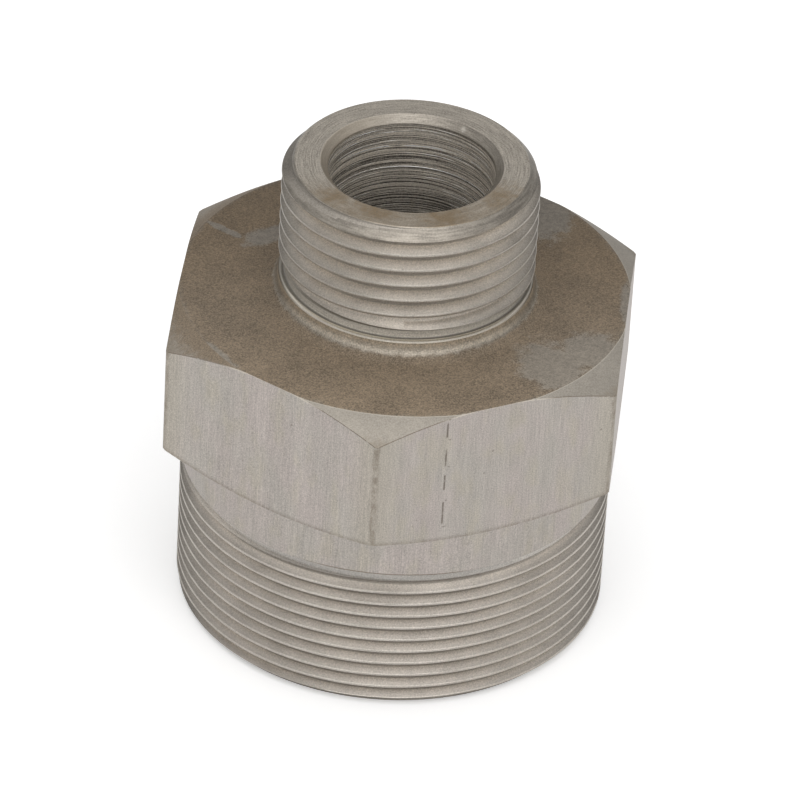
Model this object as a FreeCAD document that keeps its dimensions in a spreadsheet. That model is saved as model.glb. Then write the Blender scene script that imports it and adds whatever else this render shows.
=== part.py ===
import FreeCAD, Part
import Sketcher
import os

# Reducing double nipple, turned in one piece from hexagon bar. Sizes are in millimetres.
# The axis is +Z, the face of the large end lies in z = 0 and the origin is its centre.
# The hexagon has a corner on +X, so one of its flats faces -Y.
# Both threads are plain cylinders at the diameter of their crests.

NODE = "double_nipple"

# Alias, value and meaning of each driving size. Angles are in degrees.
SIZES = (
    ("across_flats", 46.0, "hexagon bar, over its flats"),
    ("corner_round", 0.4, "radius of the bar's drawn corners"),
    ("hexagon_height", 15.65, "foot of the lower chamfer to the top face"),
    ("top_face_margin", 0.25, "round top face beyond the flats, in radius"),
    ("upper_chamfer_angle", 30.0, "upper corners, from the horizontal"),
    ("lower_chamfer_angle", 22.3, "lower corners, from the horizontal"),
    ("collar_height", 4.75, "round band between the hexagon and the large end"),
    ("collar_inset", 0.55, "collar inside the flats, in radius"),
    ("large_thread_inset", 0.5, "crest of the M45 x 1.5 thread inside the flats, in radius"),
    ("large_end_length", 16.6, "end face to the collar"),
    ("large_end_chamfer", 0.9, "45 degree lead"),
    ("large_relief_width", 1.25, "run-out groove under the collar"),
    ("large_relief_depth", 0.9, "run-out groove below the crest"),
    ("small_thread_diameter", 26.44, "crest of the G 3/4 thread"),
    ("small_end_length", 15.15, "top face of the hexagon to the small end face"),
    ("small_end_chamfer", 1.25, "45 degree lead"),
    ("small_relief_width", 1.4, "run-out groove above the neck"),
    ("small_relief_depth", 0.62, "run-out groove below the crest"),
    ("neck_inset", 0.08, "neck inside the small thread's crest, in radius"),
    ("neck_land", 0.4, "straight band between the fillet and the run-out groove"),
    ("neck_fillet", 1.7, "root radius on top of the hexagon"),
    ("small_wall", 4.97, "crest of the small thread to the through bore"),
    ("entry_depth", 6.15, "small end face to the ledge in the bore"),
    ("entry_step", 0.3, "width of that ledge"),
    ("large_wall", 6.5, "crest of the large thread to the counterbore"),
    ("counterbore_depth", 22.0, "large end face to the drilled cone"),
    ("drilled_cone_angle", 59.0, "cone that ends the counterbore, from the axis"),
    ("mouth_chamfer", 0.78, "45 degree edge break of both mouths"),
)

# Radii that follow from the sizes
FLAT = "(Sizes.across_flats / 2)"
LARGE = f"({FLAT} - Sizes.large_thread_inset)"
LARGE_ROOT = f"({LARGE} - Sizes.large_relief_depth)"
COLLAR = f"({FLAT} - Sizes.collar_inset)"
TOP_FACE = f"({FLAT} + Sizes.top_face_margin)"
SMALL = "(Sizes.small_thread_diameter / 2)"
SMALL_ROOT = f"({SMALL} - Sizes.small_relief_depth)"
NECK = f"({SMALL} - Sizes.neck_inset)"
BORE = f"({SMALL} - Sizes.small_wall)"
ENTRY = f"({BORE} + Sizes.entry_step)"
COUNTERBORE = f"({LARGE} - Sizes.large_wall)"
OUTSIDE = "Sizes.across_flats"

# Heights that follow from the sizes
COLLAR_FOOT = "Sizes.large_end_length"
COLLAR_TOP = f"({COLLAR_FOOT} + Sizes.collar_height)"
HEXAGON_TOP = f"({COLLAR_TOP} + Sizes.hexagon_height)"
NECK_TOP = f"({HEXAGON_TOP} + Sizes.neck_fillet + Sizes.neck_land)"
SMALL_FACE = f"({HEXAGON_TOP} + Sizes.small_end_length)"


def size_sheet(document):
    sheet = document.addObject("Spreadsheet::Sheet", "Sizes")
    for row, (alias, value, meaning) in enumerate(SIZES, 1):
        sheet.set(f"A{row}", str(value))
        sheet.setAlias(f"A{row}", alias)
        sheet.set(f"B{row}", meaning)
    document.recompute()


def value_of(owner, expression):
    return float(owner.evalExpression(expression))


def sketch_on(body, name, role):
    sketch = body.newObject("Sketcher::SketchObject", name)
    plane = next(item for item in body.Origin.OriginFeatures if item.Role == role)
    sketch.AttachmentSupport = (plane, [""])
    sketch.MapMode = "FlatFace"
    body.Document.recompute()
    return sketch


def closed_loop(sketch, points):
    """Straight lines through the points, each joined to the next."""
    for here, there in zip(points, points[1:] + points[:1]):
        sketch.addGeometry(Part.LineSegment(here, there), False)
    for line in range(len(points)):
        following = (line + 1) % len(points)
        sketch.addConstraint(Sketcher.Constraint("Coincident", line, 2, following, 1))


def hexagon_section(body):
    """Regular hexagon with a corner on +X, set by the distance of its flats."""
    sketch = sketch_on(body, "bar_section", "XY_Plane")
    corner = FreeCAD.Vector(value_of(sketch, f"{FLAT} / cos(30)"), 0, 0)
    upward = FreeCAD.Vector(0, 0, 1)
    closed_loop(sketch, [FreeCAD.Rotation(upward, 60 * side).multVec(corner) for side in range(6)])
    guide = sketch.addGeometry(Part.Circle(FreeCAD.Vector(), upward, corner.x), True)
    sketch.addConstraint(Sketcher.Constraint("Coincident", guide, 3, -1, 1))
    for side in range(6):
        sketch.addConstraint(Sketcher.Constraint("PointOnObject", side, 1, guide))
    for side in range(5):
        sketch.addConstraint(Sketcher.Constraint("Equal", side, side + 1))
    sketch.addConstraint(Sketcher.Constraint("PointOnObject", 0, 1, -1))
    width = Sketcher.Constraint("Distance", -1, 1, 0, value_of(sketch, FLAT))
    sketch.setExpression(f"Constraints[{sketch.addConstraint(width)}]", FLAT)
    return sketch


def dress(body, kind, name, edges, size_name, expression):
    """Fillet or chamfer these edges of the body's last feature."""
    base = body.Tip
    feature = body.newObject(f"PartDesign::{kind}", name)
    feature.Base = (base, edges)
    feature.setExpression(size_name, expression)
    body.Document.recompute()


def circle_at(body, radius, height):
    """Name of the body's round edge with this radius, at this height on the axis."""
    wanted = FreeCAD.Vector(value_of(body, radius), 0, value_of(body, height))
    for number, edge in enumerate(body.Shape.Edges, 1):
        if isinstance(edge.Curve, Part.Circle):
            found = FreeCAD.Vector(edge.Curve.Radius, 0, edge.Curve.Center.z)
            if found.isEqual(wanted, 1e-5):
                return f"Edge{number}"
    raise RuntimeError(f"no round edge at {wanted}")


def drawn_bar(body):
    """Hexagon bar as long as the nipple, with its slightly rounded corners."""
    section = hexagon_section(body)
    bar = body.newObject("PartDesign::Pad", "bar")
    bar.Profile = section
    bar.setExpression("Length", SMALL_FACE)
    body.Document.recompute()
    corners = [
        f"Edge{number}"
        for number, edge in enumerate(bar.Shape.Edges, 1)
        if abs(edge.tangentAt(edge.FirstParameter).z) > 0.5
    ]
    dress(body, "Fillet", "bar_corners", corners, "Radius", "Sizes.corner_round")


def turned_cut(body, name, corners):
    """Cut the outline through these corners, all round the axis.

    A corner is a radius and a height, both as expressions. "0" puts it on the axis or on the large
    end face.
    """
    sketch = sketch_on(body, f"{name}_outline", "XZ_Plane")
    points = [
        FreeCAD.Vector(value_of(sketch, radius), value_of(sketch, height), 0)
        for radius, height in corners
    ]
    closed_loop(sketch, points)
    for line, (radius, height) in enumerate(corners):
        for kind, axis, expression in (("DistanceX", -2, radius), ("DistanceY", -1, height)):
            if expression == "0":
                sketch.addConstraint(Sketcher.Constraint("PointOnObject", line, 1, axis))
            else:
                size = Sketcher.Constraint(kind, -1, 1, line, 1, value_of(sketch, expression))
                sketch.setExpression(f"Constraints[{sketch.addConstraint(size)}]", expression)
    volume = body.Shape.Volume
    groove = body.newObject("PartDesign::Groove", name)
    groove.Profile = sketch
    groove.ReferenceAxis = (sketch, ["V_Axis"])
    groove.Angle = 360
    body.Document.recompute()
    if groove.Shape.Volume >= volume:
        raise RuntimeError(f"{name} cuts nothing")


def turn_large_end(body):
    """Collar with the lower hexagon chamfer, thread cylinder, and the run-out groove between."""
    chamfer_rise = f"({OUTSIDE} - {COLLAR}) * tan(Sizes.lower_chamfer_angle)"
    turned_cut(body, "large_end", (
        (LARGE, "0"),
        (OUTSIDE, "0"),
        (OUTSIDE, f"{COLLAR_TOP} + {chamfer_rise}"),
        (COLLAR, COLLAR_TOP),
        (COLLAR, COLLAR_FOOT),
        (LARGE, COLLAR_FOOT),
    ))
    turned_cut(body, "large_relief", (
        (LARGE_ROOT, f"{COLLAR_FOOT} - Sizes.large_relief_width"),
        (OUTSIDE, f"{COLLAR_FOOT} - Sizes.large_relief_width"),
        (OUTSIDE, COLLAR_FOOT),
        (LARGE_ROOT, COLLAR_FOOT),
    ))
    rim = [circle_at(body, LARGE, "0")]
    dress(body, "Chamfer", "large_end_chamfer", rim, "Size", "Sizes.large_end_chamfer")


def turn_small_end(body):
    """Upper hexagon chamfer, filleted neck, run-out groove and the small thread's cylinder."""
    chamfer_drop = f"({OUTSIDE} - {TOP_FACE}) * tan(Sizes.upper_chamfer_angle)"
    turned_cut(body, "small_end", (
        (TOP_FACE, HEXAGON_TOP),
        (OUTSIDE, f"{HEXAGON_TOP} - {chamfer_drop}"),
        (OUTSIDE, SMALL_FACE),
        (SMALL, SMALL_FACE),
        (SMALL, NECK_TOP),
        (NECK, NECK_TOP),
        (NECK, HEXAGON_TOP),
    ))
    turned_cut(body, "small_relief", (
        (SMALL_ROOT, NECK_TOP),
        (OUTSIDE, NECK_TOP),
        (OUTSIDE, f"{NECK_TOP} + Sizes.small_relief_width"),
        (SMALL_ROOT, f"{NECK_TOP} + Sizes.small_relief_width"),
    ))
    root = [circle_at(body, NECK, HEXAGON_TOP)]
    dress(body, "Fillet", "neck_fillet", root, "Radius", "Sizes.neck_fillet")
    rim = [circle_at(body, SMALL, SMALL_FACE)]
    dress(body, "Chamfer", "small_end_chamfer", rim, "Size", "Sizes.small_end_chamfer")


def bore_through(body):
    """Drilled counterbore from the large end, through bore, and the wider entry above its ledge."""
    cone_height = f"({COUNTERBORE} - {BORE}) / tan(Sizes.drilled_cone_angle)"
    ledge = f"{SMALL_FACE} - Sizes.entry_depth"
    turned_cut(body, "bore", (
        ("0", "0"),
        (COUNTERBORE, "0"),
        (COUNTERBORE, "Sizes.counterbore_depth"),
        (BORE, f"Sizes.counterbore_depth + {cone_height}"),
        (BORE, ledge),
        (ENTRY, ledge),
        (ENTRY, SMALL_FACE),
        ("0", SMALL_FACE),
    ))
    mouths = [circle_at(body, COUNTERBORE, "0"), circle_at(body, ENTRY, SMALL_FACE)]
    dress(body, "Chamfer", "mouth_chamfers", mouths, "Size", "Sizes.mouth_chamfer")


def require_sound(document, body):
    failed = [item.Name for item in document.Objects if {"Invalid", "Error"} & set(item.State)]
    if failed:
        raise RuntimeError("failed features: " + ", ".join(failed))
    if body.Shape.isNull() or not body.Shape.isValid() or len(body.Shape.Solids) != 1:
        raise RuntimeError(f"{body.Label} is not one valid solid")


document = FreeCAD.newDocument(NODE)
size_sheet(document)

nipple = document.addObject("PartDesign::Body", NODE)
nipple.Label = NODE
nipple.Placement = FreeCAD.Placement()
drawn_bar(nipple)
turn_large_end(nipple)
turn_small_end(nipple)
bore_through(nipple)

document.recompute()
require_sound(document, nipple)
os.makedirs("parts", exist_ok=True)
nipple.Shape.exportStep(f"parts/{nipple.Label}.step")
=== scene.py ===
import math
import bpy
import bmesh
from mathutils import Euler, Matrix, Vector


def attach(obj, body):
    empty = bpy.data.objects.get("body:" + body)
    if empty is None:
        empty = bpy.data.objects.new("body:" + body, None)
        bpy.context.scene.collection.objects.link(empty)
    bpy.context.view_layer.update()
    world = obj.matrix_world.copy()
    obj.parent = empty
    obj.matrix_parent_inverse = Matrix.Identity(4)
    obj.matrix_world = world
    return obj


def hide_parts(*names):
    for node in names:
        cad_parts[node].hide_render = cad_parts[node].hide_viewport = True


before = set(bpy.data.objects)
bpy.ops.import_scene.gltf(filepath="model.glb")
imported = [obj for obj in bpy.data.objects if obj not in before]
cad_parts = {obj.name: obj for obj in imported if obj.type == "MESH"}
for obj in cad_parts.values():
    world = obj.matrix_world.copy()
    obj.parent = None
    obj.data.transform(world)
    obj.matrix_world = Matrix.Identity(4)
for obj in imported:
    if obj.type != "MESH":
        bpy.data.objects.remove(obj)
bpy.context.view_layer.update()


# Turned blank: collar, hexagon envelope, neck, ring face and bore
# The fitting is one piece of stainless bar. A lathe turns both ends, faces them and drills the
# stepped bore, so two outlines are spun about the +Z axis. The sizes are in millimetres.

MILLIMETRE = 0.001
STEPS = 360
WELD_REACH = 0.003
EDGE_BREAK = 0.06
CORNER_RADIUS = 26.45
COLLAR_RADIUS, COLLAR_FOOT, COLLAR_TOP = 22.45, 16.6, 21.35
HEXAGON_TOP, TOP_FACE_RADIUS = 37.0, 23.25
UPPER_SLOPE, LOWER_SLOPE = math.tan(math.radians(30)), math.tan(math.radians(22.3))
NECK_RADIUS, NECK_FILLET, NECK_TOP = 13.14, 1.7, 39.1
SMALL_RELIEF_RADIUS, SMALL_RELIEF_TOP = 12.6, 40.5
SMALL_FACE, SMALL_FACE_RADIUS = 52.15, 11.97
LARGE_RELIEF_RADIUS, LARGE_RELIEF_FOOT = 21.6, 15.35
LARGE_FACE_RADIUS = 21.6
MOUTH = 0.78
ENTRY_RADIUS, LEDGE, BORE_RADIUS = 8.55, 46.0, 8.25
COUNTERBORE_RADIUS, COUNTERBORE_DEPTH, CONE_TOP = 16.0, 22.0, 26.657

# Corners as radius, height and rounding
OUTSIDE = (
    (LARGE_RELIEF_RADIUS, LARGE_RELIEF_FOOT, 0),
    (LARGE_RELIEF_RADIUS, COLLAR_FOOT, 0.15),
    (COLLAR_RADIUS, COLLAR_FOOT, EDGE_BREAK),
    (COLLAR_RADIUS, COLLAR_TOP, 0),
    (CORNER_RADIUS, COLLAR_TOP + (CORNER_RADIUS - COLLAR_RADIUS) * LOWER_SLOPE, EDGE_BREAK),
    (CORNER_RADIUS, HEXAGON_TOP - (CORNER_RADIUS - TOP_FACE_RADIUS) * UPPER_SLOPE, EDGE_BREAK),
    (TOP_FACE_RADIUS, HEXAGON_TOP, EDGE_BREAK),
    (NECK_RADIUS, HEXAGON_TOP, NECK_FILLET),
    (NECK_RADIUS, NECK_TOP, 0.25),
    (SMALL_RELIEF_RADIUS, NECK_TOP, 0.12),
    (SMALL_RELIEF_RADIUS, SMALL_RELIEF_TOP, 0),
)
INSIDE = (
    (SMALL_FACE_RADIUS, SMALL_FACE, 0),
    (ENTRY_RADIUS + MOUTH, SMALL_FACE, EDGE_BREAK),
    (ENTRY_RADIUS, SMALL_FACE - MOUTH, 0.1),
    (ENTRY_RADIUS, LEDGE, 0.05),
    (BORE_RADIUS, LEDGE, 0.1),
    (BORE_RADIUS, CONE_TOP, 0.2),
    (COUNTERBORE_RADIUS, COUNTERBORE_DEPTH, 0.2),
    (COUNTERBORE_RADIUS, MOUTH, EDGE_BREAK),
    (COUNTERBORE_RADIUS + MOUTH, 0, EDGE_BREAK),
    (LARGE_FACE_RADIUS, 0, 0),
)


def outline(mesh, corners):
    """A chain of edges through the corners, each corner rounded by its own amount."""
    chain = [mesh.verts.new((radius, 0, height)) for radius, height, rounding in corners]
    for pair in zip(chain, chain[1:]):
        mesh.edges.new(pair)
    for vert, (radius, height, rounding) in zip(chain, corners):
        if rounding:
            bmesh.ops.bevel(mesh, geom=[vert], offset=rounding, segments=8 if rounding > 1 else 2,
                            profile=0.5, affect="VERTICES", material=-1)


def spin_sixth(mesh, lead=0.0):
    """Spin the edges of the mesh over 60 degrees, rising by the lead's share."""
    bmesh.ops.spin(mesh, geom=mesh.verts[:] + mesh.edges[:], cent=(0, 0, 0), axis=(0, 0, 1),
                   dvec=(0, 0, lead / STEPS), angle=math.tau / 6, steps=STEPS // 6)


def repeat_sixths(mesh, lead=0.0):
    """Five more copies of a sixth, each turned and raised against the last, and welded."""
    sixth = mesh.verts[:] + mesh.edges[:] + mesh.faces[:]
    for count in range(1, 6):
        copied = bmesh.ops.duplicate(mesh, geom=sixth)["geom"]
        verts = [item for item in copied if isinstance(item, bmesh.types.BMVert)]
        bmesh.ops.rotate(mesh, verts=verts, cent=(0, 0, 0),
                         matrix=Matrix.Rotation(math.tau * count / 6, 3, "Z"))
        bmesh.ops.translate(mesh, verts=verts, vec=(0, 0, lead * count / 6))
    bmesh.ops.remove_doubles(mesh, verts=mesh.verts[:], dist=WELD_REACH)


fitting = bmesh.new()
outline(fitting, OUTSIDE)
outline(fitting, INSIDE)
spin_sixth(fitting)


class Wire:
    """An output socket of a material, so that masks and colours read as formulas."""

    def __init__(self, tree, socket):
        self.tree, self.socket = tree, socket

    def node(self, kind, settings, values, output=0):
        """A node of any type, with its settings first and then the values or links of its sockets."""
        made = self.tree.nodes.new(kind)
        for name, setting in settings.items():
            setattr(made, name, setting)
        for name, value in values.items():
            if isinstance(value, Wire):
                self.tree.links.new(value.socket, made.inputs[name])
            else:
                made.inputs[name].default_value = value
        return Wire(self.tree, made.outputs[output])

    def math(self, operation, first, second):
        return self.node("ShaderNodeMath", {"operation": operation}, {0: first, 1: second})

    def __add__(self, other):
        return self.math("ADD", self, other)

    def __radd__(self, other):
        return self.math("ADD", other, self)

    def __sub__(self, other):
        return self.math("SUBTRACT", self, other)

    def __rsub__(self, other):
        return self.math("SUBTRACT", other, self)

    def __mul__(self, other):
        return self.math("MULTIPLY", self, other)

    def __truediv__(self, other):
        return self.math("DIVIDE", self, other)

    def __pow__(self, other):
        return self.math("POWER", self, other)

    def __abs__(self):
        return self.math("ABSOLUTE", self, 0)


def new_finish(name):
    """A metal finish, and the place of each of its points in millimetres."""
    finish = bpy.data.materials.new(name)
    finish.use_nodes = True
    tree = finish.node_tree
    tree.nodes["Principled BSDF"].inputs["Metallic"].default_value = 1
    metres = Wire(tree, tree.nodes.new("ShaderNodeTexCoord").outputs["Object"])
    return finish, metres.node("ShaderNodeVectorMath", {"operation": "SCALE"},
                               {0: metres, "Scale": 1 / MILLIMETRE})


def along(place, axis):
    """A point's coordinate along x, y or z, for the axis 0, 1 or 2."""
    return place.node("ShaderNodeSeparateXYZ", {}, {0: place}, axis)


def off_axis(place):
    """How far a point is from the bore's axis."""
    return (along(place, 0) * along(place, 0) + along(place, 1) * along(place, 1)) ** 0.5


def to_front(place):
    """How far a point lies from the bore's axis towards the side that the photo shows."""
    return along(place, 1) * -0.9 + along(place, 0) * -0.44


def to_left(place):
    """How far a point lies from the bore's axis towards the photo's left."""
    return along(place, 0) * -0.9 + along(place, 1) * 0.44


def distance(place, centre):
    """How far a point is from another one."""
    return place.node("ShaderNodeVectorMath", {"operation": "DISTANCE"}, {0: place, 1: centre}, 1)


def ramp(value, low, high):
    """0 below low and 1 above high, with a soft change between them."""
    return value.node("ShaderNodeMapRange", {"interpolation_type": "SMOOTHSTEP"},
                      {"Value": value, "From Min": low, "From Max": high})


def fall(value, low, high):
    """1 below low and 0 above high, with a soft change between them."""
    return 1.0 - ramp(value, low, high)


def greatest(masks):
    """The greatest of some masks at each point."""
    found = masks[0]
    for mask in masks[1:]:
        found = found.math("MAXIMUM", found, mask)
    return found


def grain(place, fineness, detail=2.0, seed=0.0):
    """Noise about 0.5; fineness gives its cells per millimetre along x, y and z."""
    shifted = {"Vector": place, "Location": (seed, seed, seed), "Scale": fineness}
    fine = place.node("ShaderNodeMapping", {}, shifted)
    return place.node("ShaderNodeTexNoise", {}, {"Vector": fine, "Scale": 1, "Detail": detail})


def tool_marks(place, fine, length, detail=3.0, seed=0.0):
    """Turning marks round the axis: fine of them per millimetre of profile, broken up along their length."""
    radius = off_axis(place)
    lathe = place.node("ShaderNodeCombineXYZ", {}, {
        0: along(place, 0) / radius * length + seed,
        1: along(place, 1) / radius * length,
        2: (radius * 0.8 + along(place, 2) * 1.3) * fine})
    return place.node("ShaderNodeTexNoise", {}, {"Vector": lathe, "Scale": 1, "Detail": detail})


def blend(mask, first, second):
    """The first colour where the mask is 0, the second where it is 1."""
    first, second = (colour + (1,) if isinstance(colour, tuple) else colour for colour in (first, second))
    return mask.node("ShaderNodeMix", {"data_type": "RGBA"}, {0: mask, 6: first, 7: second}, 2)


def shade(colour, factor):
    """A colour made lighter or darker by a factor."""
    return factor.node("ShaderNodeVectorMath", {"operation": "SCALE"}, {0: colour, "Scale": factor})


def wear(finish, colour, roughness, relief, depth, metal=None):
    """Connect the colour, the roughness and a bump whose relief is depth millimetres high."""
    shader = finish.node_tree.nodes["Principled BSDF"]
    if metal is not None:
        finish.node_tree.links.new(metal.socket, shader.inputs["Metallic"])
    bump = relief.node("ShaderNodeBump", {},
                       {"Height": relief, "Strength": 1.0, "Distance": depth * MILLIMETRE})
    for name, wire in (("Base Color", colour), ("Roughness", roughness), ("Normal", bump)):
        finish.node_tree.links.new(wire.socket, shader.inputs[name])


finishes = []


def coat(faces, finish):
    """Give the faces a finish of the fitting."""
    if finish not in finishes:
        finishes.append(finish)
    for face in faces:
        face.material_index = finishes.index(finish)


def where(mesh, test):
    """The faces whose middle passes a test of its radius and height."""
    middles = [(face, face.calc_center_median()) for face in mesh.faces]
    return [face for face, middle in middles if test(math.hypot(middle.x, middle.y), middle.z)]


# Faced end rings and their chamfers: fine concentric marks, brown stains, a painted sheen on the mouth's
# left and a painted highlight on a tear's lip
FACED_STEEL, MOUTH_PAINTED_SHEEN, TORN_LIP_GLINT = (0.41, 0.372, 0.32), (0.72, 0.62, 0.49), (0.60, 0.56, 0.50)
BROWN_STAIN = (0.29, 0.225, 0.15)
STAINS = ((-6.9, -6.6, 3.0), (5.8, -8.7, 3.2), (-10.1, -3.0, 2.2), (-1.0, -10.4, 3.2))
TEAR = (7.72, 4.43, 51.8)

faced, place = new_finish("faced_steel")
marks = ramp(tool_marks(place, 11.0, 5.0), 0.3, 0.7)
broad = tool_marks(place, 3.0, 1.5, 3.0, 5.0)
speckle = grain(place, (6, 6, 6), 3.0)
blotches = grain(place, (1.3, 1.3, 1.3), 4.0, 3.0)
flat_ring = ramp(along(place, 2), SMALL_FACE - 0.08, SMALL_FACE - 0.02)
near_stain = greatest([1.0 - distance(place, (x, y, SMALL_FACE)) / reach for x, y, reach in STAINS])
stained = ramp(near_stain + (blotches - 0.5) * 1.8 + (speckle - 0.5) * 0.9, -0.2, 1.2)
stain = flat_ring * (stained * 0.7 + ramp(to_front(place), 2.0, 9.5) * 0.4)
# Painted sheen: a pale colour on the left side of the mouth's chamfer
painted_mouth_sheen = fall(off_axis(place), ENTRY_RADIUS + 0.75, ENTRY_RADIUS + 0.85) * ramp(to_left(place), 1.0, 7.5)
# Painted highlight: the pale lip of a tear in the mouth
torn_glint = fall(distance(place, TEAR) + (speckle - 0.5) * 0.8, 0.1, 0.4)
turned_light = 0.17 + marks * 0.4 + broad * 0.3 + speckle * 0.85 + (speckle - 0.55) * flat_ring * 0.4
faced_tone = shade(FACED_STEEL, turned_light * (0.84 + flat_ring * 0.26))
faced_tone = blend(painted_mouth_sheen * 0.35, faced_tone, MOUTH_PAINTED_SHEEN)
faced_tone = blend(torn_glint * 0.8, faced_tone, TORN_LIP_GLINT)
faced_tone = blend(stain, faced_tone, shade(BROWN_STAIN, 0.5 + speckle))
wear(faced, faced_tone, 0.34 + speckle * 0.12 + stain * 0.12,
     marks * 0.4 + broad * 0.3 + speckle * 0.6, 0.02)

# Bored and drilled walls: coarse, uneven rings and torn edges with a painted glint, painted shade deeper in
# the bore and on the ledge
BORED_STEEL = (0.605, 0.55, 0.475)
TORN_RING = 48.75

bored, place = new_finish("bored_steel")
height = along(place, 2)
coarse = tool_marks(place, 1.2, 0.5, 2.0)
rings = ramp(tool_marks(place, 6.2, 0.35, 5.0, 9.0), 0.4, 0.6)
broken = tool_marks(place, 2.0, 3.0, 3.0, 21.0)
speckle = grain(place, (6, 6, 6), 3.0)
# Painted shade: the ledge's face darker, to dim its highlight
ledge_shade = fall(abs(height - LEDGE), 0.05, 0.07)
# Torn edges, real in bump and roughness, with a painted glint in their colour
torn_glint = greatest([fall(abs(height - TORN_RING), 0.04, 0.11) * ramp(broken, 0.42, 0.55),
                 fall(abs(height - LEDGE - 0.14), 0.04, 0.12) * ramp(broken, 0.3, 0.45),
                 ramp(tool_marks(place, 5.6, 1.2, 3.0, 21.0), 0.6, 0.68)])
# Painted shade: the bore darker deeper in, below the small end
bore_depth_shade = 0.45 + ramp(height, 36.0, 48.0) * 0.55
ringed_light = rings * 0.85 + coarse * 0.1 + speckle * 1.1 + torn_glint * 2.2 - 0.27
bored_tone = shade(BORED_STEEL, ringed_light * bore_depth_shade * (1.0 - ledge_shade * 0.45))
wear(bored, bored_tone, 0.5 + rings * 0.15 - torn_glint * 0.2, rings * 0.6 + coarse * 0.4 + torn_glint * 0.4, 0.05,
     0.6 + torn_glint * 0.4)

# Blasted top with its brown scale, the satin fillet and neck above it; painted light and shade make the top
# lighter at the front and browner at the back, and a painted highlight and lighter sides mark the fillet
LIT_FRONT_SCALE, SHADED_BACK_SCALE = (0.225, 0.174, 0.12), (0.228, 0.166, 0.102)
CLEAN_STEEL, NECK_STEEL = (0.285, 0.25, 0.205), (0.415, 0.368, 0.302)
# Clean spots as centre x and y, reach along and across, and turn in degrees
CLEAN_SPOTS = ((8.2, -18.4, 3.8, 4.9, 0), (12.6, -17.2, 3.8, 3.2, 30), (19.3, 8.0, 5.4, 3.4, 70),
               (-13.4, 16.2, 2.9, 0.5, -62), (-9.7, 13.6, 3.0, 1.5, 10), (-22.9, -5.0, 3.8, 0.8, -78),
               (20.4, -10.6, 4.2, 0.9, 62))

blasted, place = new_finish("blasted_steel")
radius, height = off_axis(place), along(place, 2)
front = to_front(place)
grit = grain(place, (6.5, 6.5, 6.5), 3.0)
dust = grain(place, (1.6, 1.6, 1.6), 3.0, 7.0)
cloud = grain(place, (0.22, 0.22, 0.22), 3.0, 2.0)
ragged = grain(place, (0.8, 0.8, 0.8), 4.0, 13.0)
in_spots = []
for centre_x, centre_y, reach_x, reach_y, turn in CLEAN_SPOTS:
    turned = place.node("ShaderNodeMapping", {"vector_type": "TEXTURE"}, {
        "Vector": place, "Location": (centre_x, centre_y, HEXAGON_TOP),
        "Rotation": (0, 0, math.radians(turn)), "Scale": (reach_x, reach_y, 1)})
    in_spots.append(1.0 - off_axis(turned))
clean = ramp(greatest(in_spots) + (ragged - 0.5) + (grit - 0.5) * 0.9, -0.12, 0.3)
clean = greatest([clean, ramp(radius + (ragged - 0.5) * 1.6, 22.7, 23.6) * 0.4])
neck = ramp(height + (dust - 0.5) * 0.6 + (grit - 0.5) * 0.3, 37.35, 37.75)
wall = ramp(height, 38.0, 38.6)
# Painted highlight: a bright band on the front of the fillet, brightest off its middle
painted_gleam = ramp(height, 37.55, 37.95) * fall(height, 38.05, 38.45)
painted_gleam = painted_gleam * ramp(front, 3.0, 10.0) * (0.7 + ramp(abs(to_left(place)), 1.0, 7.0) * 0.5)
# Painted light: the fillet lighter at its sides
painted_side_light = fall(front, 3.0, 11.0) * (1.0 - wall)
# Painted shade: the scale darker and browner towards the back
scale_tone = shade(blend(ramp(0.0 - front, -10.0, 12.0), LIT_FRONT_SCALE, SHADED_BACK_SCALE),
                   grit * 2.2 + dust * 0.35 + cloud * 0.6 - 0.6)
clean_tone = shade(CLEAN_STEEL, 0.1 + grit * 1.1 + dust * 0.6)
# Painted light: the top lighter towards the front
top_tone = shade(blend(clean, scale_tone, clean_tone), 0.9 + front * 0.015)
satin_light = (grit * 1.4 + dust * 0.7 - 0.1) * (0.66 + painted_gleam * 0.85 + wall * 1.08 + painted_side_light * 0.28)
wear(blasted, blend(neck, top_tone, shade(NECK_STEEL, satin_light)), 0.62 - clean * 0.06 - neck * 0.26,
     grit * (1.0 - clean * 0.4) * (1.0 - neck * 0.5), 0.09, 0.15 + clean * 0.2 + neck * 0.7)

coat(where(fitting, lambda radius, height: radius < COUNTERBORE_RADIUS + 0.5
           and height < SMALL_FACE - MOUTH), bored)
coat(where(fitting, lambda radius, height: radius > NECK_RADIUS - 0.3 and height > 36), blasted)
coat(where(fitting, lambda radius, height: radius < 12.45 and height > SMALL_FACE - MOUTH - 0.08
           or height < MOUTH + 0.05), faced)


# Hexagon: the bar's six flats
# The bar is drawn to 46 mm across its flats before the ends are turned. Its flats meet the turned
# chamfers in curved edges, and narrow strips stay round at its corners.

ACROSS_FLATS, FLAT_INSET, FLAT_MIDDLE = 46.0, 0.0005, 29.2
SMOOTH_ANGLE, DIGITS_KEPT = 12, 5


def put_in_order(mesh):
    """Sort the points, edges and faces of a mesh by place, so that each run gives the same mesh."""
    for elements, place_of in ((mesh.verts, lambda vert: vert.co[:]),
                               (mesh.edges, lambda edge: (edge.verts[0].co + edge.verts[1].co)[:]),
                               (mesh.faces, lambda face: face.calc_center_median()[:])):
        for number, element in enumerate(sorted(elements, key=place_of)):
            element.index = number
        elements.sort()


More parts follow.
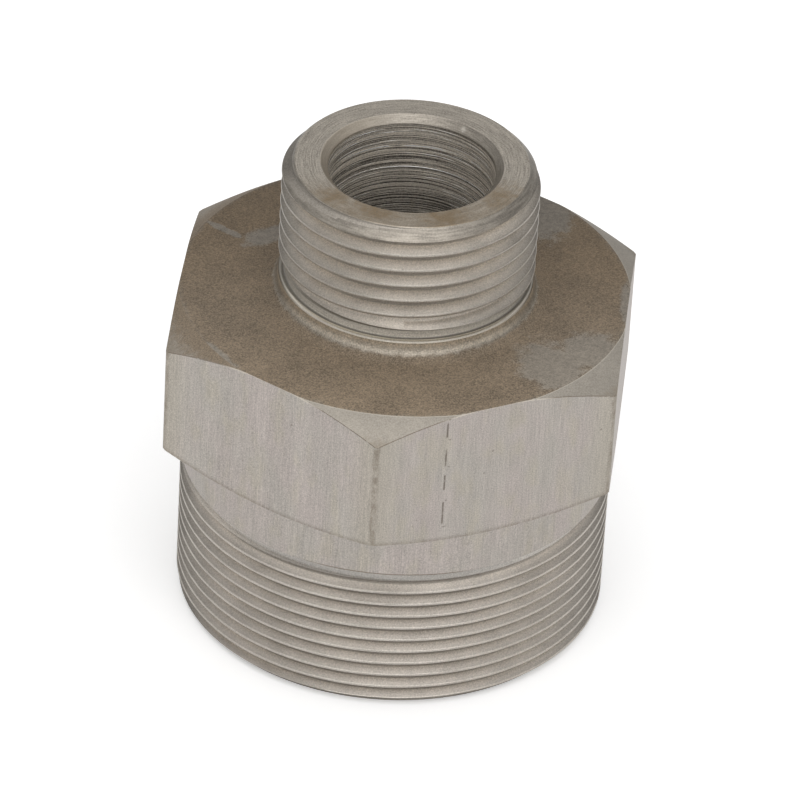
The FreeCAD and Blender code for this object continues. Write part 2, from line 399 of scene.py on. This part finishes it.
outward = Vector((math.cos(math.radians(30)), math.sin(math.radians(30)), 0))
sideways = Vector((-outward.y, outward.x, 0))
cut = bmesh.ops.bisect_plane(fitting, geom=fitting.verts[:] + fitting.edges[:] + fitting.faces[:],
                             plane_co=outward * (ACROSS_FLATS / 2 - FLAT_INSET), plane_no=outward,
                             clear_outer=True)
rim = [item for item in cut["geom_cut"] if isinstance(item, bmesh.types.BMVert)]
rim.sort(key=lambda vert: math.atan2(vert.co.z - FLAT_MIDDLE, vert.co.dot(sideways)))
fitting.faces.new(rim)

# The cut adds its points in no fixed order, and their last digit can differ from run to run
for vert in fitting.verts:
    vert.co = [round(value, DIGITS_KEPT) for value in vert.co]
put_in_order(fitting)


def spots(across, up, places):
    """Small marks on a flat, each with its place and its reach across and up."""
    masks = []
    for centre_across, centre_up, reach_across, reach_up in places:
        sideways, upwards = (across - centre_across) / reach_across, (up - centre_up) / reach_up
        masks.append(fall((sideways ** 2 + upwards ** 2) ** 0.5, 0.6, 1.1))
    return greatest(masks)


# Drawn flats and the turned collar below them: fine upright lines, pits, a scribed line of dashes, and
# painted shade along the collar's foot at the front
COOL_STEEL, WARM_STEEL, BEIGE_STEEL = (0.50, 0.465, 0.425), (0.525, 0.472, 0.44), (0.51, 0.468, 0.40)
BARE_EDGE, EDGE_DIRT_AND_SHADE, SCRIBED_LINE = (0.76, 0.70, 0.60), (0.20, 0.16, 0.115), (0.15, 0.125, 0.10)
# The dashes as top and foot, and the ticks beside them as place and reach, across and up
DASH_ACROSS = -5.53
DASHES = ((36.26, 34.53), (33.09, 31.01), (29.91, 28.08), (26.57, 23.86))
TICKS = ((-5.2, 34.23, 0.16, 0.08), (-5.15, 30.89, 0.16, 0.08), (-5.25, 26.74, 0.16, 0.08),
         (-5.3, 23.5, 0.3, 0.08), (-5.32, 36.7, 0.16, 0.12), (-0.31, 31.63, 0.13, 0.13),
         (-1.15, 29.11, 0.11, 0.11))

drawn, place = new_finish("drawn_steel")
x, y, height = along(place, 0), along(place, 1), along(place, 2)
radius = off_axis(place)
lines = grain(place, (8, 8, 0.35), 3.0)
bands = grain(place, (0.7, 0.7, 0.03), 2.0, 4.0)
fine = grain(place, (7, 7, 7), 2.0, 8.0)
drift = grain(place, (0.22, 0.22, 0.12), 2.0, 15.0)
ragged = grain(place, (2.2, 2.2, 1.1), 3.0, 22.0)
dashes = fall(abs(x - DASH_ACROSS), 0.05, 0.14) * greatest([
    fall(abs(height - (top + foot) / 2), (top - foot) / 2 - 0.1, (top - foot) / 2 + 0.1)
    for top, foot in DASHES])
dashes = greatest([dashes * (0.5 + ramp(ragged, 0.3, 0.5) * 0.5), spots(x, height, TICKS) * 0.6])
scribed = fall(y, -22.99, -22.95) * dashes
cells = place.node("ShaderNodeTexVoronoi", {}, {"Vector": place, "Scale": 0.6})
pits = fall(cells, 0.05, 0.1) * ramp(grain(place, (0.4, 0.4, 0.4), 1.0, 31.0), 0.58, 0.62)
upper_edge = HEXAGON_TOP - (radius - TOP_FACE_RADIUS) * UPPER_SLOPE - height
lower_edge = height - COLLAR_TOP - (radius - COLLAR_RADIUS) * LOWER_SLOPE
on_flat = ramp(radius, 22.5, 22.9) * ramp(lower_edge, 0.01, 0.02)
lower_line = on_flat * fall(lower_edge + (ragged - 0.5) * 0.5, 0.03, 0.6)
lower_line = lower_line * (0.3 + ramp(ragged, 0.3, 0.6) * 0.5)
upper_line = fall(upper_edge + (ragged - 0.5) * 0.1, 0.06, 0.16) * ramp(ragged, 0.2, 0.5)
upper_line = upper_line * ramp(radius, 23.4, 24.0)
# Painted shade: a dark line along the collar's foot edge, on the front only
foot_shade_line = ramp(to_front(place), 20.3, 22.0) * fall(height, COLLAR_FOOT + 0.08, COLLAR_FOOT + 0.2)
near_corner = ramp(radius + (ragged - 0.5) * 0.3, 26.25, 26.55)
corner_line = near_corner * (0.4 + ramp(ragged + (lines - 0.5) * 0.8, 0.3, 0.65) * 0.5)
dirt = greatest([corner_line * 0.6, lower_line * 0.5, upper_line * 0.75])
pale_edge = fall(radius, 23.4, 24.2) * fall(upper_edge + (ragged - 0.5) * 0.2, 0.08, 0.22)
pale_edge = pale_edge * ramp(ragged, 0.3, 0.5)
beige = greatest([ramp(grain(place, (0.5, 0.5, 0.25), 3.0, 40.0), 0.48, 0.7), ramp(radius, 24.8, 26.2)])
drawn_tone = blend(ramp(drift, 0.35, 0.65), COOL_STEEL, WARM_STEEL)
drawn_tone = blend(beige * 0.7, drawn_tone, BEIGE_STEEL)
drawn_tone = shade(drawn_tone, 0.1 + lines * 0.6 + bands * 0.24 + fine * 0.98)
drawn_tone = blend(pale_edge * 0.75, drawn_tone, BARE_EDGE)
# Dirt along the edges and corners, and painted shade at the collar's foot
drawn_tone = blend(greatest([dirt, foot_shade_line * 0.75]), drawn_tone, EDGE_DIRT_AND_SHADE)
drawn_tone = blend(greatest([scribed * 0.75, pits * 0.5]), drawn_tone, SCRIBED_LINE)
wear(drawn, drawn_tone, 0.38 + lines * 0.1 + dirt * 0.2,
     lines + fine * 0.3 - scribed * 3.0 - pits * 2.0, 0.008)

# Turned upper chamfers of the six corners: a little browner, smeared at the corner
CHAMFER_STEEL, CHAMFER_RIM = (0.46, 0.42, 0.365), (0.64, 0.59, 0.51)
CORNER_SMEAR, CHAMFER_SCALE = (0.26, 0.21, 0.15), (0.31, 0.25, 0.185)

chamfered, place = new_finish("chamfered_steel")
radius = off_axis(place)
smear = grain(place, (1.6, 1.6, 1.6), 3.0, 3.0)
fine = grain(place, (7, 7, 7), 3.0, 8.0)
marks = tool_marks(place, 5.0, 4.0)
corner = ramp(radius + (smear - 0.5) * 1.6, 25.4, 26.4)
rim = fall(radius + (smear - 0.5) * 0.15, 23.3, 23.42)
back_left = along(place, 1) * 0.5 - along(place, 0) * 0.87
scaled = ramp(back_left + (smear - 0.5) * 8, 8.0, 18.0) * fall(radius + (smear - 0.5) * 3, 23.8, 27.0)
chamfer_tone = shade(CHAMFER_STEEL, 0.23 + smear * 0.28 + fine * 0.74 + marks * 0.37)
chamfer_tone = blend(corner * 0.4, chamfer_tone, CORNER_SMEAR)
chamfer_tone = blend(scaled, chamfer_tone, shade(CHAMFER_SCALE, 0.25 + fine * 1.5))
chamfer_tone = blend(rim * (0.7 - scaled * 0.7), chamfer_tone, CHAMFER_RIM)
wear(chamfered, chamfer_tone, 0.44 + smear * 0.12, marks + fine * 0.6, 0.014)

coat(where(fitting, lambda radius, height: radius > 22 and COLLAR_FOOT < height < 33), drawn)
coat(where(fitting, lambda radius, height: radius > TOP_FACE_RADIUS
           and 33 < height < HEXAGON_TOP - 0.02), chamfered)
repeat_sixths(fitting)
for edge in fitting.edges:
    edge.smooth = edge.calc_face_angle(math.pi) < math.radians(SMOOTH_ANGLE)


# Large end: M45 x 1.5 thread
# A right-hand thread of 1.5 mm pitch, cut with a single point down to the run-out groove under the
# collar. Its lead at the end face is a 45 degree chamfer that was turned before the thread.

LARGE_PITCH, LARGE_START = 1.5, 14.718
# Colours: a groove wall lightened by painted light, painted shade for the roots and the dark of nicks, and
# rubbed crests with a painted gleam
GROOVE_STEEL_PAINTED_LIGHT, PAINTED_SHADE_AND_NICKS, RUBBED_GLEAM_STEEL = (0.53, 0.503, 0.468), (0.10, 0.085, 0.065), (0.84, 0.79, 0.72)
LARGE_TOOTH = ((22.45, 0.0), (22.5, 0.04), (22.5, 0.24), (22.45, 0.28), (21.72, 0.72),
               (21.63, 0.8), (21.6, 0.88), (21.6, 0.95), (21.63, 1.02), (21.72, 1.09))


def screw(tooth, pitch, start, low, high, least, most):
    """A thread between two heights, with its rims closed towards the groove and the lead.

    start is a height of the tooth's foot at zero degrees. least and most give the smallest and the
    largest radius that the groove and the lead leave at a height.
    """
    mesh = bmesh.new()
    turns = range(math.floor((low - start) / pitch) - 1, math.ceil((high - start) / pitch) + 1)
    row = [mesh.verts.new((radius, 0, start + turn * pitch + rise))
           for turn in turns for radius, rise in tooth]
    for pair in zip(row, row[1:]):
        mesh.edges.new(pair)
    spin_sixth(mesh, pitch)
    repeat_sixths(mesh, pitch)
    crest = max(radius for radius, rise in tooth)
    in_lead = [edge for edge in mesh.edges if abs(edge.verts[0].co.z - edge.verts[1].co.z) > 0.03
               and all(low - 0.5 < vert.co.z < high + 0.5 for vert in edge.verts)
               and any(most(vert.co.z) < crest for vert in edge.verts)]
    bmesh.ops.subdivide_edges(mesh, edges=in_lead, cuts=3)
    around = tuple(tooth) + ((tooth[0][0], tooth[0][1] + pitch),)
    for vert in mesh.verts:
        angle, height = math.atan2(vert.co.y, vert.co.x) % math.tau, vert.co.z
        radius = math.hypot(vert.co.x, vert.co.y)
        if not low + 0.01 < height < high - 0.01:
            height = low if height < (low + high) / 2 else high
            rise = (height - start - pitch * angle / math.tau - tooth[0][1]) % pitch + tooth[0][1]
            (inner, foot), (outer, head) = next(
                pair for pair in zip(around, around[1:]) if rise <= pair[1][1])
            radius = inner + (outer - inner) * (rise - foot) / (head - foot)
        radius = min(max(radius, least(height)), most(height))
        vert.co = (radius * math.cos(angle), radius * math.sin(angle), height)
    bmesh.ops.remove_doubles(mesh, verts=mesh.verts[:], dist=WELD_REACH)
    return mesh


def weld_on(thread, height, radius):
    """Close a thread's rim at a height with a flat wall to the groove, and add it to the fitting."""
    rim = [edge for edge in thread.edges
           if edge.is_boundary and all(abs(vert.co.z - height) < 0.001 for vert in edge.verts)]
    wall = bmesh.ops.extrude_edge_only(thread, edges=rim)["geom"]
    for vert in (item for item in wall if isinstance(item, bmesh.types.BMVert)):
        scale = radius / math.hypot(vert.co.x, vert.co.y)
        vert.co = (vert.co.x * scale, vert.co.y * scale, vert.co.z)
    finished = bpy.data.meshes.new("thread")
    thread.to_mesh(finished)
    thread.free()
    fitting.from_mesh(finished)
    bpy.data.meshes.remove(finished)


def threaded(name, tone, rubbing_and_gleam, root, crest, marks):
    """The finish of a cut thread: flanks lightened near the root by painted light, painted shade in
    the roots, and rubbed crests with a painted gleam.

    Its lead and its run-out are evenly bright, and painted light makes the side that faces the front the
    lightest.
    marks are small nicks in it, each with its azimuth, height and reach.
    """
    finish, place = new_finish(name)
    radius, height, front = off_axis(place), along(place, 2), to_front(place)
    streaks = tool_marks(place, 6.0, 5.0)
    patches = tool_marks(place, 1.2, 2.5, 3.0, 11.0)
    fine = grain(place, (6.5, 6.5, 8), 2.0, 8.0)
    before_lead = fall(abs(height - SMALL_FACE / 2), 24.8, 25.2)
    off_groove = ramp(abs(height - (LARGE_RELIEF_FOOT + COLLAR_FOOT) / 2), 0.63, 0.66)
    inner = fall(radius, root, crest) * before_lead * (0.6 + off_groove * 0.4)
    # Painted light: the thread lighter towards the front
    painted_front_light = ramp(front, -0.1 * crest, 0.8 * crest)
    facing = ramp(front, 0.5 * crest, 0.95 * crest)
    # Painted shade in the roots, strongest at the front, and the dark of small nicks
    root_shade_and_nicks = [fall(radius, root + 0.04, root + 0.2) * before_lead * off_groove * (0.1 + facing * 0.5)]
    for azimuth, centre, reach in marks:
        turn = math.radians(azimuth)
        away = distance(place, (crest * math.cos(turn), crest * math.sin(turn), centre))
        root_shade_and_nicks.append(fall(away, reach * 0.5, reach) * 0.8)
    # Rubbed crests with a painted gleam, fainter at the front
    rubbed_gleam = ramp(radius, crest - 0.08, crest - 0.02) * ramp(streaks, 0.2, 0.5)
    rubbed_gleam = rubbed_gleam * (1.0 - painted_front_light * 0.5) * rubbing_and_gleam
    cut = 0.14 + streaks * 0.4 + patches * 0.36 + fine * 0.95
    # Painted light: the flanks near the root lightened against their shade, more at the sides
    flank_painted_light = 1.0 + inner * (1.13 - rubbing_and_gleam * 0.43 - facing * 0.2)
    cut_tone = shade(tone, cut * flank_painted_light * (0.64 + painted_front_light * 0.38))
    # Painted light: the groove's wall lightened against its shade, most between the front and the sides
    groove_painted_light_tone = shade(GROOVE_STEEL_PAINTED_LIGHT, cut * (1.0 + painted_front_light * 0.6 - facing * 0.55))
    cut_tone = blend(1.0 - off_groove, cut_tone, groove_painted_light_tone)
    cut_tone = blend(greatest(root_shade_and_nicks), cut_tone, PAINTED_SHADE_AND_NICKS)
    wear(finish, blend(rubbed_gleam, cut_tone, shade(RUBBED_GLEAM_STEEL, 0.6 + fine * 0.8)),
         0.42 + patches * 0.1 + inner * 0.15 - rubbed_gleam * 0.06, streaks * 0.6 + fine * 0.5, 0.016,
         0.35 + off_groove * 0.65)
    return finish


large_threaded = threaded(
    "large_threaded_steel", (0.43, 0.394, 0.352), rubbing_and_gleam=0.95, root=21.6, crest=22.5,
    marks=((-178.5, 11.85, 0.3), (-161.4, 14.78, 0.3), (-121.3, 14.78, 0.25)))
coat(where(fitting, lambda radius, height: radius > 21
           and 0.1 < height < COLLAR_FOOT + 0.01), large_threaded)
large_thread = screw(LARGE_TOOTH, LARGE_PITCH, LARGE_START, 0, LARGE_RELIEF_FOOT,
                     lambda height: 0, lambda height: LARGE_FACE_RADIUS + height)
coat(large_thread.faces, large_threaded)
coat(where(large_thread, lambda radius, height: radius - height > LARGE_FACE_RADIUS - 0.06), faced)
weld_on(large_thread, LARGE_RELIEF_FOOT, LARGE_RELIEF_RADIUS)


# Small end: G 3/4 thread
# A right-hand pipe thread of 14 turns to the inch with rounded crests and roots. Its first groove
# cuts the end's 45 degree chamfer, and its last one runs out in the groove above the neck.

SMALL_PITCH, SMALL_START = 1.814, 49.718
SMALL_TOOTH = tuple((centre + sign * 0.249 * math.cos(math.radians(tilt)),
                     middle + 0.249 * math.sin(math.radians(tilt)))
                    for centre, sign, middle in ((12.971, 1, 0.25), (12.307, -1, 1.157))
                    for tilt in (-62, -31, 0, 31, 62))

small_threaded = threaded(
    "small_threaded_steel", (0.41, 0.374, 0.328), rubbing_and_gleam=0.65, root=12.06, crest=13.22,
    marks=((-135, 50.9, 0.35), (-117.4, 47.8, 0.16), (-117.4, 48.1, 0.16),
           (-117.4, 48.4, 0.16), (-117.4, 48.7, 0.16)))

# Run-out groove: a wall lightened by painted light, painted shade under the thread and in the corner, and a
# painted highlight on the ring at its foot
GROOVE_WALL_PAINTED_LIGHT, RING_HIGHLIGHT_STEEL = (0.56, 0.53, 0.475), (0.94, 0.87, 0.75)

grooved, place = new_finish("grooved_steel")
radius, height = off_axis(place), along(place, 2)
streaks = tool_marks(place, 7.0, 4.0)
fine = grain(place, (6.5, 6.5, 6.5), 2.0)
facing = ramp(to_front(place), 1.0, 12.5)
# Painted highlight: the ring at the groove's foot, pale and brightest at the front
ring_highlight = ramp(radius, SMALL_RELIEF_RADIUS + 0.17, SMALL_RELIEF_RADIUS + 0.23)
# Painted shade: dark in the corner at the groove's foot
corner_shade = fall(height, NECK_TOP + 0.05, NECK_TOP + 0.18) * (1.0 - ring_highlight)
# Painted shadow: a dark strip under the thread's overhang, at the front
overhang_shadow = ramp(height, SMALL_RELIEF_TOP - 0.55, SMALL_RELIEF_TOP - 0.4) * facing
# Painted light: the wall lighter overall and lighter towards the front
painted_wall_tone = shade(GROOVE_WALL_PAINTED_LIGHT, (0.1 + streaks * 0.8 + fine) * (0.8 + facing * 0.3))
painted_wall_tone = blend(greatest([corner_shade * 0.8, overhang_shadow * 0.75]), painted_wall_tone, PAINTED_SHADE_AND_NICKS)
ring_highlight_tone = shade(RING_HIGHLIGHT_STEEL, (0.5 + streaks * 0.5 + fine * 0.5) * (0.3 + facing * 0.7))
wear(grooved, blend(ring_highlight, painted_wall_tone, ring_highlight_tone),
     0.42 - ring_highlight * 0.1, streaks * 0.6 + fine * 0.5, 0.012, 0.4 + ring_highlight * 0.6)
coat(where(fitting, lambda radius, height: 12.4 < radius < NECK_RADIUS - 0.005
           and height > 38.8), grooved)
small_thread = screw(SMALL_TOOTH, SMALL_PITCH, SMALL_START, SMALL_RELIEF_TOP, SMALL_FACE,
                     lambda height: SMALL_RELIEF_RADIUS - (height - SMALL_RELIEF_TOP) * 0.4,
                     lambda height: SMALL_FACE_RADIUS + SMALL_FACE - height)
coat(small_thread.faces, small_threaded)
coat(where(small_thread, lambda radius, height: radius + height
           > SMALL_FACE_RADIUS + SMALL_FACE - 0.06), faced)
weld_on(small_thread, SMALL_RELIEF_TOP, SMALL_RELIEF_RADIUS)


# One solid
# The turned faces, the flats and both threads are one skin, because the part is cut from one bar.
# Its sharp edges are marked, and it is shrunk from millimetres to metres.

SHARP_ANGLE, SLIVER = 34, 0.0005

bmesh.ops.remove_doubles(fitting, verts=fitting.verts[:], dist=WELD_REACH)
bmesh.ops.dissolve_degenerate(fitting, edges=fitting.edges[:], dist=SLIVER)
bmesh.ops.recalc_face_normals(fitting, faces=fitting.faces[:])
put_in_order(fitting)
for face in fitting.faces:
    face.smooth = True
for edge in fitting.edges:
    if edge.calc_face_angle(math.pi) > math.radians(SHARP_ANGLE):
        edge.smooth = False
bmesh.ops.scale(fitting, vec=(MILLIMETRE, MILLIMETRE, MILLIMETRE), verts=fitting.verts[:])
skin = bpy.data.meshes.new("nipple_skin")
fitting.to_mesh(skin)
fitting.free()
nipple = bpy.data.objects.new("nipple", skin)
bpy.context.scene.collection.objects.link(nipple)
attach(nipple, "root")
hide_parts("double_nipple")

for finish in finishes:
    skin.materials.append(finish)


# Studio
# A sheet of white paper that keeps the object's soft shadow, a very large soft box overhead, a
# smaller one in front and a dim room. The camera stands where the photo was taken from.

PAPER_REACH = 4
PAPER_WHITE, PAPER_GLOW, ROOM_GREY = (0.95, 0.95, 0.95), (0.32, 0.32, 0.32), (0.34, 0.34, 0.34)
CAMERA_PLACE, CAMERA_TURN = (-0.242339, -0.497990, 0.406821), (55.2145, -2.7466, -24.0584)
FOCAL_LENGTH = 291.447

floor_mesh = bpy.data.meshes.new("floor")
ground = bmesh.new()
bmesh.ops.create_grid(ground, x_segments=1, y_segments=1, size=PAPER_REACH)
ground.to_mesh(floor_mesh)
ground.free()
floor = bpy.data.objects.new("floor", floor_mesh)
bpy.context.scene.collection.objects.link(floor)
paper = bpy.data.materials.new("white_paper")
paper.use_nodes = True
sheet = paper.node_tree.nodes["Principled BSDF"]
sheet.inputs["Base Color"].default_value = PAPER_WHITE + (1,)
sheet.inputs["Roughness"].default_value = 1
sheet.inputs["Specular IOR Level"].default_value = 0
sheet.inputs["Emission Strength"].default_value = 1
seen = Wire(paper.node_tree, paper.node_tree.nodes.new("ShaderNodeLightPath").outputs["Is Camera Ray"])
glow = blend(seen, (0, 0, 0), PAPER_GLOW)
paper.node_tree.links.new(glow.socket, sheet.inputs["Emission Color"])
floor_mesh.materials.append(paper)

room = bpy.data.worlds.new("room")
room.use_nodes = True
room.node_tree.nodes["Background"].inputs["Color"].default_value = ROOM_GREY + (1,)
room.node_tree.nodes["Background"].inputs["Strength"].default_value = 1
bpy.context.scene.world = room


def soft_box(name, azimuth, elevation, away, size, power):
    """A square lamp that faces the object, seen from it at this azimuth and elevation."""
    lamp = bpy.data.lights.new(name, "AREA")
    lamp.shape = "SQUARE"
    lamp.size = size
    lamp.energy = power
    holder = bpy.data.objects.new(name, lamp)
    turn, tilt = math.radians(azimuth), math.radians(elevation)
    direction = Vector((math.cos(turn) * math.cos(tilt), math.sin(turn) * math.cos(tilt), math.sin(tilt)))
    holder.location = direction * away + Vector((0, 0, 0.03))
    holder.rotation_euler = direction.to_track_quat("Z", "Y").to_euler()
    bpy.context.scene.collection.objects.link(holder)


soft_box("ceiling_box", azimuth=64, elevation=85, away=0.9, size=3.0, power=13.3)
soft_box("front_box", azimuth=-110, elevation=50, away=0.9, size=0.9, power=3.0)

camera_data = bpy.data.cameras.new("camera")
camera_data.sensor_width = 36
camera_data.lens = FOCAL_LENGTH
camera = bpy.data.objects.new("camera", camera_data)
camera.location = CAMERA_PLACE
camera.rotation_euler = Euler([math.radians(angle) for angle in CAMERA_TURN])
bpy.context.scene.collection.objects.link(camera)
bpy.context.scene.camera = camera
bpy.context.scene.view_settings.view_transform = "Standard"
